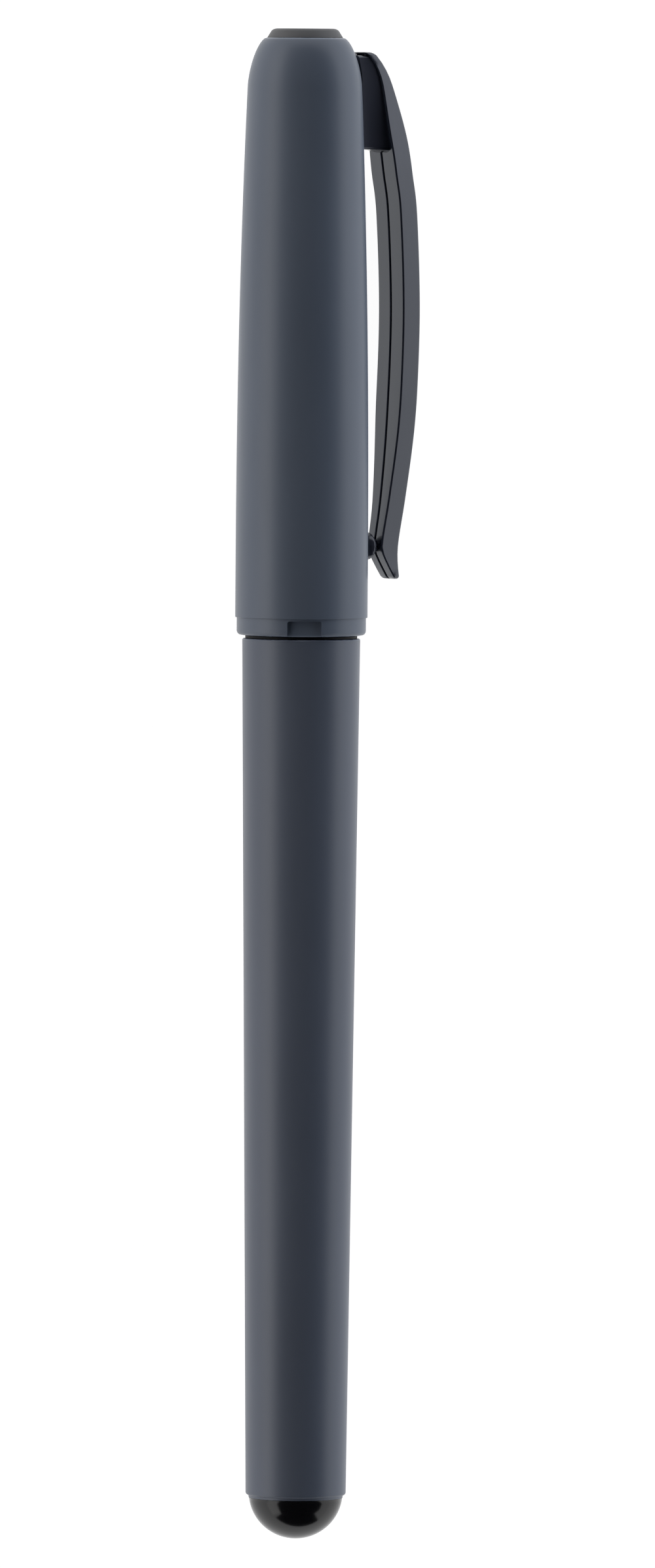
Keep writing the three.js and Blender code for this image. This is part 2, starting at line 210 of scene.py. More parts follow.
class Blank:
    """A solid being shaped, in the pen's millimetres."""

    def __init__(self) -> None:
        """Starts with nothing."""
        self.bm = bmesh.new()

    @classmethod
    def turned(cls, outline: Outline, steps: int) -> "Blank":
        """Spins an outline about the pen's axis.

        Args:
            outline: Corners in order, starting and ending on the axis or closing on themselves.
            steps: Number of steps round.

        Returns:
            The turned solid.
        """
        blank = cls()
        bm = blank.bm
        verts = [bm.verts.new((corner.station, corner.radius, 0)) for corner in outline]
        closing = [] if outline[0].radius == 0 else [(verts[-1], verts[0])]
        for pair in [*zip(verts, verts[1:]), *closing]:
            bm.edges.new(pair)
        for corner, vert in zip(outline, verts):
            if corner.rounding:
                bmesh.ops.bevel(
                    bm,
                    geom=[vert],
                    offset=corner.rounding,
                    segments=CORNER_SEGMENTS,
                    profile=0.5,
                    affect="VERTICES",
                    material=-1,
                )
        bmesh.ops.spin(
            bm,
            geom=[*bm.verts, *bm.edges],
            cent=(0, 0, 0),
            axis=(1, 0, 0),
            angle=math.tau,
            steps=steps,
            use_merge=True,
        )
        blank.heal()
        return blank

    @classmethod
    def swept(cls, rings: Sequence[Sequence[Vector]]) -> "Blank":
        """Extrudes a closed ring of points through further rings of as many points.

        Args:
            rings: The rings, each with its points in the same order.

        Returns:
            The closed solid.
        """
        blank = cls()
        bm = blank.bm
        verts = [bm.verts.new(point) for point in rings[0]]
        loop = [bm.edges.new(pair) for pair in zip(verts, verts[1:] + verts[:1])]
        bmesh.ops.contextual_create(bm, geom=loop)
        for before, after in zip(rings, rings[1:]):
            target = {blank._spot(Vector(old)): new for old, new in zip(before, after)}
            made = bmesh.ops.extrude_edge_only(bm, edges=loop)["geom"]
            verts = [item for item in made if isinstance(item, bmesh.types.BMVert)]
            fresh = set(verts)
            loop = [
                item
                for item in made
                if isinstance(item, bmesh.types.BMEdge) and fresh.issuperset(item.verts)
            ]
            for vert in verts:
                vert.co = target[blank._spot(vert.co)]
        bmesh.ops.contextual_create(bm, geom=loop)
        blank.heal()
        return blank

    @classmethod
    def brick(cls, low: Vector, high: Vector, edge: float) -> "Blank":
        """Makes a block between two corners, with softened edges.

        Args:
            low: Its lowest corner.
            high: Its highest corner.
            edge: Width of the edges' rounding.

        Returns:
            The block.
        """
        blank = cls()
        place = Matrix.Translation((low + high) / 2) @ Matrix.Diagonal((*(high - low), 1))
        bmesh.ops.create_cube(blank.bm, size=1, matrix=place)
        bmesh.ops.bevel(
            blank.bm,
            geom=blank.bm.edges[:],
            offset=edge,
            segments=BLOCK_SEGMENTS,
            profile=0.5,
            affect="EDGES",
            material=-1,
        )
        return blank

    @staticmethod
    def _spot(point: Vector) -> tuple[float, float, float]:
        """Rounds a point, so that two copies of it can be matched."""
        return tuple(round(value, SAME_DIGITS) for value in point)

    def heal(self) -> None:
        """Merges doubled vertices and points the faces outwards."""
        bmesh.ops.remove_doubles(self.bm, verts=self.bm.verts, dist=SAME_PLACE)
        bmesh.ops.recalc_face_normals(self.bm, faces=self.bm.faces)

    def turn(self, angle: float) -> "Blank":
        """Turns the solid about the pen's axis.

        Args:
            angle: The angle in radians.

        Returns:
            The same solid.
        """
        turn = Matrix.Rotation(angle, 3, "X")
        bmesh.ops.rotate(self.bm, cent=(0, 0, 0), matrix=turn, verts=self.bm.verts)
        return self

    def combine(self, other: "Blank", join: Join) -> "Blank":
        """Joins another solid to this one, or cuts it out.

        Args:
            other: The other solid, which is used up.
            join: Whether it is added or cut.

        Returns:
            This solid.
        """
        body, tool = (blank._lone_object(name) for blank, name in ((self, "body"), (other, "tool")))
        modifier = body.modifiers.new("join", "BOOLEAN")
        modifier.operation = join.value
        modifier.solver = "MANIFOLD"
        modifier.object = tool
        depsgraph = bpy.context.evaluated_depsgraph_get()
        result = bpy.data.meshes.new_from_object(body.evaluated_get(depsgraph))
        self.bm.clear()
        self.bm.from_mesh(result)
        other.bm.free()
        for mesh in (body.data, tool.data, result):
            bpy.data.meshes.remove(mesh)
        self.heal()
        return self

    def _lone_object(self, name: str) -> bpy.types.Object:
        """Puts the solid's present shape in an object of its own.

        Args:
            name: The object's name.

        Returns:
            The new object.
        """
        mesh = bpy.data.meshes.new(name)
        self.bm.to_mesh(mesh)
        thing = bpy.data.objects.new(name, mesh)
        bpy.context.scene.collection.objects.link(thing)
        return thing

    def delivered(self, name: str, seat: Matrix, crease: float) -> bpy.types.Object:
        """Brings the solid to its place and makes it an object at the origin.

        Args:
            name: The object's name.
            seat: The matrix from the pen's millimetres to the frame.
            crease: Angle in degrees past which an edge is drawn sharp.

        Returns:
            The new object.
        """
        bmesh.ops.transform(self.bm, matrix=seat, verts=self.bm.verts)
        thing = self._lone_object(name)
        self.bm.free()
        thing.data.shade_smooth()
        thing.data.set_sharp_from_angle(angle=math.radians(crease))
        weighted = thing.modifiers.new("even shading", "WEIGHTED_NORMAL")
        weighted.keep_sharp = True
        return thing


class Value:
    """A number worked out in a node tree. Python's operators on it add Math nodes."""

    def __init__(self, nodes: "Nodes", socket: bpy.types.NodeSocket | None) -> None:
        """Wraps an output socket.

        Args:
            nodes: The tree that the socket belongs to.
            socket: The socket that gives the number, or None at the end of a tree.
        """
        self.nodes = nodes
        self.socket = socket

    def _maths(self, operation: str, *operands: "Value | float") -> "Value":
        """Adds one Math node and gives its result."""
        inputs = dict(enumerate(operands))
        return self.nodes.add("ShaderNodeMath", {"operation": operation}, inputs)

    def __add__(self, other: "Value | float") -> "Value":
        """Adds."""
        return self._maths("ADD", self, other)

    def __radd__(self, other: float) -> "Value":
        """Adds from the right."""
        return self._maths("ADD", other, self)

    def __sub__(self, other: "Value | float") -> "Value":
        """Subtracts."""
        return self._maths("SUBTRACT", self, other)

    def __rsub__(self, other: float) -> "Value":
        """Subtracts from a number."""
        return self._maths("SUBTRACT", other, self)

    def __mul__(self, other: "Value | float") -> "Value":
        """Multiplies."""
        return self._maths("MULTIPLY", self, other)

    def __rmul__(self, other: float) -> "Value":
        """Multiplies from the right."""
        return self._maths("MULTIPLY", other, self)

    def __abs__(self) -> "Value":
        """Drops the sign."""
        return self._maths("ABSOLUTE", self)

    def ease(self, low: float, high: float) -> "Value":
        """Goes smoothly from 0 at one value to 1 at another.

        Args:
            low: The value that gives 0.
            high: The value that gives 1.

        Returns:
            The eased share.
        """
        settings = {"interpolation_type": "SMOOTHSTEP"}
        inputs = {"Value": self, "From Min": low, "From Max": high}
        return self.nodes.add("ShaderNodeMapRange", settings, inputs)


class Nodes:
    """A node tree being wired."""

    # The Mix node's colour sockets go by number, because their names repeat.
    MIX_COLOURS = (6, 7)
    MIX_RESULT = 2

    def __init__(self, tree: bpy.types.NodeTree) -> None:
        """Empties the tree.

        Args:
            tree: The tree of a material or a world.
        """
        self.tree = tree
        tree.nodes.clear()

    def add(
        self, kind: str, settings: dict[str, Any], inputs: dict[str | int, Any], output: str | int = 0
    ) -> Value:
        """Adds a node of any type.

        Args:
            kind: The node's type.
            settings: Its own settings, set before its sockets.
            inputs: Values or links by socket name or number.
            output: The socket that is wanted.

        Returns:
            The wanted output.
        """
        node = self.tree.nodes.new(kind)
        for name, setting in settings.items():
            setattr(node, name, setting)
        for name, given in inputs.items():
            if isinstance(given, Value):
                self.tree.links.new(given.socket, node.inputs[name])
            else:
                node.inputs[name].default_value = given
        return Value(self, node.outputs[output] if node.outputs else None)

    def blend(self, share: "Value | float", first: Any, second: Any) -> Value:
        """Mixes two colours.

        Args:
            share: How much of the second colour.
            first: A colour or a link.
            second: A colour or a link.

        Returns:
            The mixed colour.
        """
        ends = [end if isinstance(end, Value) else (*end, 1) for end in (first, second)]
        inputs = {"Factor": share, **dict(zip(self.MIX_COLOURS, ends))}
        return self.add("ShaderNodeMix", {"data_type": "RGBA"}, inputs, self.MIX_RESULT)

    def place(self, origin: Vector, squeeze: float = 1.0) -> Value:
        """Gives the place on the surface in millimetres from a point of the pen's axis.

        Args:
            origin: The point in the frame that becomes zero.
            squeeze: Factor along the pen. Less than 1 draws a pattern out.

        Returns:
            The place as a vector.
        """
        spot = self.add("ShaderNodeTexCoord", {}, {}, "Object")
        scale = (squeeze / MM, 1 / MM, 1 / MM)
        shift = tuple(-part * factor for part, factor in zip(origin, scale))
        inputs = {"Vector": spot, "Location": shift, "Scale": scale}
        return self.add("ShaderNodeMapping", {"vector_type": "POINT"}, inputs)

    def cloud(self, origin: Vector, size: float, detail: float = 2.0, squeeze: float = 1.0) -> Value:
        """Adds soft noise.

        Args:
            origin: The point in the frame that it is counted from.
            size: Width of one blotch in millimetres.
            detail: How many finer layers it holds.
            squeeze: Factor along the pen. Less than 1 draws the blotches out.

        Returns:
            The noise from 0 to 1.
        """
        inputs = {"Vector": self.place(origin, squeeze), "Scale": 1 / size, "Detail": detail}
        return self.add("ShaderNodeTexNoise", {}, inputs)

    def bump(self, height: Value, depth: float) -> Value:
        """Turns a height from 0 to 1 into a normal, with the depth in millimetres that 1 stands for."""
        return self.add("ShaderNodeBump", {}, {"Distance": depth * MM, "Height": height})


def new_material(name: str, wire: Callable[[Nodes], Value]) -> bpy.types.Material:
    """Makes a material.

    Args:
        name: The material's name.
        wire: Wires the shader of its surface.

    Returns:
        The material.
    """
    material = bpy.data.materials.new(name)
    material.use_nodes = True
    nodes = Nodes(material.node_tree)
    nodes.add("ShaderNodeOutputMaterial", {}, {"Surface": wire(nodes)})
    return material


@dataclass(frozen=True)
class Finish:
    """What a piece is made of, with one Principled shader."""

    name: str

    def surface(self, pen: Pen) -> bpy.types.Material:
        """Makes the material.

        Args:
            pen: The pen's place, from whose tail the patterns are counted.

        Returns:
            The material.
        """
        return new_material(
            self.name,
            lambda nodes: nodes.add("ShaderNodeBsdfPrincipled", {}, self._sockets(nodes, pen)),
        )

    def _sockets(self, nodes: Nodes, pen: Pen) -> dict[str, Any]:
        """Wires what the shader needs. Each kind of finish has its own way."""
        raise NotImplementedError


@dataclass(frozen=True)
class MouldedPlastic(Finish):
    """Dyed plastic from a spark-eroded mould: fine grain, faint flow clouds, and paler bands that are partly wear
    and partly painted highlights and painted light.

    Each paler band, of wear and painted light, is given by its station and how far it reaches.
    """

    colour: Colour
    roughness: float
    grain: float = 0.16
    grain_depth: float = 0.0018
    mottle: float = 0.08
    specular: float = 0.5
    specular_tint: Colour = (1.0, 1.0, 1.0)
    wear_and_highlight_bands: tuple[tuple[float, float], ...] = ()
    flow_size: float = 5.0
    flow_detail: float = 3.0
    flow_squeeze: float = 0.35
    flow_unevenness: float = 0.06
    smear_size: float = 1.1
    smear_detail: float = 4.0
    smear_squeeze: float = 0.2
    smear_unevenness: float = 0.08
    wear_and_highlight_least: float = 0.4
    wear_and_highlight_paling: float = 2.2
    wear_and_highlight_chalk: float = 0.03
    wear_and_highlight_polish: float = 0.1

    def _sockets(self, nodes: Nodes, pen: Pen) -> dict[str, Any]:
        """Wires the colour, the roughness and the grain.

        Args:
            nodes: The material's tree.
            pen: The pen's place, from whose tail the patterns are counted.

        Returns:
            The shader's values and links by socket.
        """
        station = nodes.add("ShaderNodeSeparateXYZ", {}, {"Vector": nodes.place(pen.tail)}, "X")
        flow = nodes.cloud(pen.tail, self.flow_size, self.flow_detail, self.flow_squeeze)
        smear = nodes.cloud(pen.tail, self.smear_size, self.smear_detail, self.smear_squeeze)
        speck = nodes.cloud(pen.tail, self.grain)
        dark = tuple(part * (1 - self.mottle) for part in self.colour)
        light = tuple(part * (1 + self.mottle) for part in self.colour)
        # Paler colour in the bands: partly wear, partly a painted highlight along edges or painted light lifting
        # shade.
        pale = tuple(part * self.wear_and_highlight_paling + self.wear_and_highlight_chalk for part in self.colour)
        wear_and_highlight_mask = sum(1 - abs(station - middle).ease(0.0, reach) for middle, reach in self.wear_and_highlight_bands)
        wear_and_highlight_share = wear_and_highlight_mask * (self.wear_and_highlight_least + smear * (1 - self.wear_and_highlight_least))
        uneven = (flow - 0.5) * self.flow_unevenness + (smear - 0.5) * self.smear_unevenness
        return {
            "Base Color": nodes.blend(wear_and_highlight_share, nodes.blend(flow, dark, light), pale),
            "Roughness": self.roughness + uneven - wear_and_highlight_mask * self.wear_and_highlight_polish,
            "Specular IOR Level": self.specular,
            "Specular Tint": (*self.specular_tint, 1.0),
            "Normal": nodes.bump(speck, self.grain_depth),
        }


@dataclass(frozen=True)
class Fibre(Finish):
    """Bonded fibre that runs along the pen, soaked with ink."""

    dry: Colour
    soaked: Colour
    strand: float
    depth: float
    strand_detail: float = 3.0
    strand_squeeze: float = 0.12
    patch_strands: float = 12.0
    mixing: float = 0.6
    soaking: tuple[float, float] = (0.35, 0.8)
    roughness: float = 0.95
    strand_polish: float = 0.2
    specular: float = 0.3

    def _sockets(self, nodes: Nodes, pen: Pen) -> dict[str, Any]:
        """Wires the strands and the uneven ink.

        Args:
            nodes: The material's tree.
            pen: The pen's place, from whose tail the patterns are counted.

        Returns:
            The shader's values and links by socket.
        """
        strands = nodes.cloud(pen.tail, self.strand, self.strand_detail, self.strand_squeeze)
        ink = nodes.cloud(pen.tail, self.strand * self.patch_strands)
        share = (strands * self.mixing + ink * self.mixing).ease(*self.soaking)
        return {
            "Base Color": nodes.blend(share, self.dry, self.soaked),
            "Roughness": self.roughness - strands * self.strand_polish,
            "Specular IOR Level": self.specular,
            "Normal": nodes.bump(strands, self.depth),
        }


@dataclass(frozen=True)
class ClearFilm(Finish):
    """Thin polished film, drawn round the reservoir and lightly creased."""

    colour: Colour
    crease_width: float
    crease_depth: float
    crease_detail: float = 3.0
    crease_squeeze: float = 0.3
    dulling: float = 0.85
    roughness: float = 0.08
    crease_roughness: float = 0.14
    ior: float = 1.45
    transmission: float = 0.5

    def _sockets(self, nodes: Nodes, pen: Pen) -> dict[str, Any]:
        """Wires the creases.

        Args:
            nodes: The material's tree.
            pen: The pen's place, from whose tail the patterns are counted.

        Returns:
            The shader's values and links by socket.
        """
        creases = nodes.cloud(pen.tail, self.crease_width, self.crease_detail, self.crease_squeeze)
        dull = tuple(part * self.dulling for part in self.colour)
        return {
            "Base Color": nodes.blend(creases, dull, self.colour),
            "Roughness": self.roughness + creases * self.crease_roughness,
            "IOR": self.ior,
            "Transmission Weight": self.transmission,
            "Normal": nodes.bump(creases, self.crease_depth),
        }


@dataclass
class SubAssembly:
    """Pieces that are built together, with the pen's place."""

    pen: Pen
    steps: int = 128
    crease: float = 35.0

    def deliver(
        self, blank: Blank, name: str, node: str, finish: Finish, turn: float = 0.0
    ) -> None:
        """Makes a blank the piece that stands for a CAD node.

        Args:
            blank: The finished solid.
            name: The piece's name.
            node: The CAD node that it replaces, whose body it takes.
            finish: What it is made of.
            turn: Its turn about the pen's axis in radians.
        """
        piece = blank.delivered(name, self.pen.seat(turn), self.crease)
        piece.data.materials.append(finish.surface(self.pen))
        record = frame["record"]
        body = next(body for body, nodes in record["behaviour"]["bodies"].items() if node in nodes)
        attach(piece, body)
        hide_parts(node)
        log.info("%s stands for %s on %s", name, node, body)

    def turn_piece(self, outline: Outline, name: str, node: str, finish: Finish) -> None:
        """Turns an outline and makes it the piece that stands for a CAD node."""
        self.deliver(Blank.turned(outline, self.steps), name, node, finish)


@dataclass
class Barrel(SubAssembly):
    """The body tube, the black dome in its tail and the ring in its seam with the cap."""

    tail_radius: float = 4.55
    tail_edge: float = 0.22
    tail_lip_radius: float = 4.3
    tail_lip_height: float = 0.25
    tail_lip_edge: float = 0.04
    shoulder_edge: float = 0.15
    neck_radius: float = 4.93
    neck_bore: float = 4.1
    neck_edge: float = 0.25
    neck_bore_edge: float = 0.08
    body_bore: float = 3.55
    bead_setback: float = 1.9
    bead_length: float = 1.1
    bead_rise: float = 0.08
    bead_edge: float = 0.2
    dome_height: float = 3.7
    dome_radius: float = 4.27
    dome_axis: float = 4.2
    dome_steps: int = 22
    plug_radius: float = 3.5
    plug_length: float = 5.0
    plug_edge: float = 0.3
    post_radius: float = 1.6
    post_edge: float = 0.2
    ring_edge: float = 0.08
    ring_inset: float = 0.1
    seam_trim: float = 0.1
    edge_wear_and_highlight: float = 0.14
    neck_wear_and_light: float = 1.6
    plastic: MouldedPlastic = MouldedPlastic("slate barrel", (0.103, 0.121, 0.163), 0.38)
    gloss: MouldedPlastic = MouldedPlastic(
        "gloss black dome", (0.006, 0.006, 0.0075), 0.15, grain=2.5, grain_depth=0.0006
    )
    ring: MouldedPlastic = MouldedPlastic("ring black", (0.004, 0.004, 0.005), 0.55, specular=0.2)

    def build(self) -> None:
        """Builds and dresses the barrel, the dome and the ring."""
        tail, neck_end = self.pen.span("barrel")
        shoulder, mouth = self.pen.span("collar_ring")
        shoulder += self.seam_trim
        self._tube(tail, shoulder, neck_end)
        self._dome(tail)
        self._seam_ring(shoulder, mouth)

    def _tube(self, tail: float, shoulder: float, neck_end: float) -> None:
        """Turns the tapered tube with its neck, its snap bead and its bore.

        Args:
            tail: Station of the tail's lip.
            shoulder: Station where the cap's seam begins.
            neck_end: Station of the neck's end.
        """
        step = self.pen.span("front_section")[0]
        lip = tail + self.tail_lip_height
        bead = shoulder + self.bead_setback
        bead_radius = self.neck_radius + self.bead_rise
        outline = [
            Corner(tail, self.body_bore),
            Corner(tail, self.dome_radius, self.tail_lip_edge),
            Corner(lip, self.tail_lip_radius, self.tail_lip_edge),
            Corner(lip, self.tail_radius, self.tail_edge),
            Corner(shoulder, self.pen.reach("barrel"), self.shoulder_edge),
            Corner(shoulder, self.neck_radius),
            Corner(bead, self.neck_radius),
            Corner(bead + self.bead_length / 2, bead_radius, self.bead_edge),
            Corner(bead + self.bead_length, self.neck_radius),
            Corner(neck_end, self.neck_radius, self.neck_edge),
            Corner(neck_end, self.neck_bore, self.neck_bore_edge),
            Corner(step, self.neck_bore),
            Corner(step, self.body_bore),
        ]
        # Paler bands: at the shoulder's edge, wear and a painted highlight; along the neck, wear and painted light
        # that lifts its shade.
        neck = (shoulder + self.neck_wear_and_light, self.neck_wear_and_light - self.edge_wear_and_highlight)
        finish = replace(self.plastic, wear_and_highlight_bands=((shoulder, self.edge_wear_and_highlight), neck))
        self.turn_piece(outline, "barrel_tube", "barrel", finish)

    def _dome(self, tail: float) -> None:
        """Turns the tail dome with the plug that holds it.

        Args:
            tail: Station of the barrel's tail lip.
        """
        end = tail + self.plug_length
        centre = self.dome_axis
        last = math.degrees(math.acos(self.dome_height / centre - 1))
        post_end = self.pen.span("tail_plug")[1]
        outline = [
            Corner(0, 0),
            *arc(centre, 0, centre, self.dome_radius, 180, last, self.dome_steps)[1:],
            Corner(tail, self.dome_radius),
            Corner(tail, self.plug_radius),
            Corner(end, self.plug_radius, self.plug_edge),
            Corner(end, self.post_radius, self.post_edge),
            Corner(post_end, self.post_radius, self.post_edge),
            Corner(post_end, 0),
        ]
        self.turn_piece(outline, "tail_dome", "tail_plug", self.gloss)

    def _seam_ring(self, shoulder: float, mouth: float) -> None:
        """Turns the ring between the barrel and the cap.

        Args:
            shoulder: Station of the barrel's shoulder.
            mouth: Station of the cap's mouth.
        """
        outer = self.pen.reach("collar_ring") - self.ring_inset
        inner = self.neck_radius + PRESS_FIT
        outline = [
            Corner(shoulder, inner),
            Corner(shoulder, outer, self.ring_edge),
            Corner(mouth, outer, self.ring_edge),
            Corner(mouth, inner),
        ]
        self.turn_piece(outline, "seam_ring", "collar_ring", self.ring)


@dataclass
class WritingEnd(SubAssembly):
    """The grip, the cone that holds the nib, and the nib: all under the closed cap."""

    spigot_radius: float = 4.05
    spigot_edge: float = 0.15
    section_bore: float = 3.55
    grip_radius: float = 4.85
    grip_front_radius: float = 4.1
    grip_length: float = 15.0
    rear_steps: int = 3
    front_steps: int = 6
    groove_count: int = 7
    groove_setback: float = 3.0
    groove_pitch: float = 1.5
    groove_width: float = 0.7
    groove_depth: float = 0.12
    groove_steps: int = 10
    seal_radius: float = 3.6
    seal_edge: float = 0.1
    socket_radius: float = 2.7
    socket_depth: float = 5.0
    front_wall: float = 6.0
    wick_bore: float = 1.1
    rod_room: float = 0.15
    edge: float = 0.2
    holder_edge: float = 0.1
    holder_base_radius: float = 3.3
    holder_band: float = 0.9
    holder_band_draft: float = 0.03
    holder_step_length: float = 0.25
    holder_step_inset: float = 0.2
    holder_tip_radius: float = 1.75
    nib_bore: float = 1.15
    nib_bore_edge: float = 0.05
    nib_radius: float = 1.1
    nib_rear_edge: float = 0.1
    nib_shoulder_edge: float = 0.5
    nib_tip_radius: float = 0.45
    nib_tip_start: float = 70.0
    nib_tip_steps: int = 8
    nib_taper: float = 2.6
    satin: MouldedPlastic = MouldedPlastic("satin black grip", (0.012, 0.012, 0.014), 0.35)
    smooth_black: MouldedPlastic = MouldedPlastic(
        "satin black cone", (0.012, 0.012, 0.014), 0.26, grain=0.3
    )
    felt: Fibre = Fibre("pressed nib fibre", (0.03, 0.03, 0.036), (0.008, 0.008, 0.01), 0.09, 0.012)

    def build(self) -> None:
        """Builds and dresses the grip, the cone and the nib."""
        self._grip()
        self._cone()
        self._nib()

    def _grip_radius(self, along: float) -> float:
        """Gives the grip's radius, with its shallow grooves.

        Args:
            along: Distance from the barrel's neck.

        Returns:
            The radius there.
        """
        plain = lerp(self.grip_radius, self.grip_front_radius, smooth(along / self.grip_length))
        row = (along - self.groove_setback) / self.groove_pitch
        if not -0.5 < row < self.groove_count - 0.5:
            return plain
        off = abs(row - round(row)) * self.groove_pitch
        return plain - self.groove_depth * (1 - smooth(2 * off / self.groove_width))

    def _grip(self) -> None:
        """Turns the grip section, its spigot in the barrel's neck and its seal step."""
        rear, front = self.pen.span("front_section")
        neck_end = self.pen.span("barrel")[1]
        seal = neck_end + self.grip_length
        guide = seal - self.front_wall + self.rod_room
        rows = self.groove_count * self.groove_pitch
        first = self.groove_setback - self.groove_pitch / 2
        stops = [
            *[lerp(self.edge, first, share) for share in shares(self.rear_steps)],
            *[
                self.groove_setback + (share - 0.5 / self.groove_count) * rows
                for share in shares(self.groove_count * self.groove_steps)[1:]
            ],
        ]
        stops += [lerp(stops[-1], self.grip_length, share) for share in shares(self.front_steps)[1:-1]]
        outline = [
            Corner(rear, self.spigot_radius, self.spigot_edge),
            Corner(neck_end, self.spigot_radius),
            Corner(neck_end, self.grip_radius, self.edge / 2),
            *[Corner(neck_end + along, self._grip_radius(along)) for along in stops],
            Corner(seal, self.grip_front_radius, self.edge),
            Corner(seal, self.seal_radius, self.seal_edge),
            Corner(front, self.seal_radius, self.edge),
            Corner(front, self.socket_radius),
            Corner(front - self.socket_depth, self.socket_radius),
            Corner(front - self.socket_depth, self.wick_bore),
            Corner(guide, self.wick_bore),
            Corner(guide, self.section_bore),
            Corner(rear, self.section_bore),
        ]
        self.turn_piece(outline, "grip_section", "front_section", self.satin)

    def _cone(self) -> None:
        """Turns the cone that holds the nib."""
        rear, tip = self.pen.span("nib_holder")
        base = self.pen.span("front_section")[1]
        band = base + self.holder_band
        spigot = self.socket_radius - PRESS_FIT
        step = self.holder_base_radius - self.holder_step_inset
        outline = [
            Corner(rear, spigot, self.holder_edge),
            Corner(base, spigot),
            Corner(base, self.holder_base_radius, self.holder_edge),
            Corner(band, self.holder_base_radius - self.holder_band_draft, self.edge),
            Corner(band + self.holder_step_length, step, self.holder_edge),
            Corner(tip, self.holder_tip_radius, self.edge),
            Corner(tip, self.nib_bore, self.nib_bore_edge),
            Corner(rear, self.nib_bore),
        ]
        self.turn_piece(outline, "nib_cone", "nib_holder", self.smooth_black)

    def _nib(self) -> None:
        """Turns the bullet nib."""
        rear, tip = self.pen.span("writing_nib")
        ball = self.nib_tip_radius
        outline = [
            Corner(rear, 0),
            Corner(rear, self.nib_radius, self.nib_rear_edge),
            Corner(tip - self.nib_taper, self.nib_radius, self.nib_shoulder_edge),
            *arc(tip - ball, 0, ball, ball, self.nib_tip_start, 0, self.nib_tip_steps),
        ]
        self.turn_piece(outline, "bullet_nib", "writing_nib", self.felt)


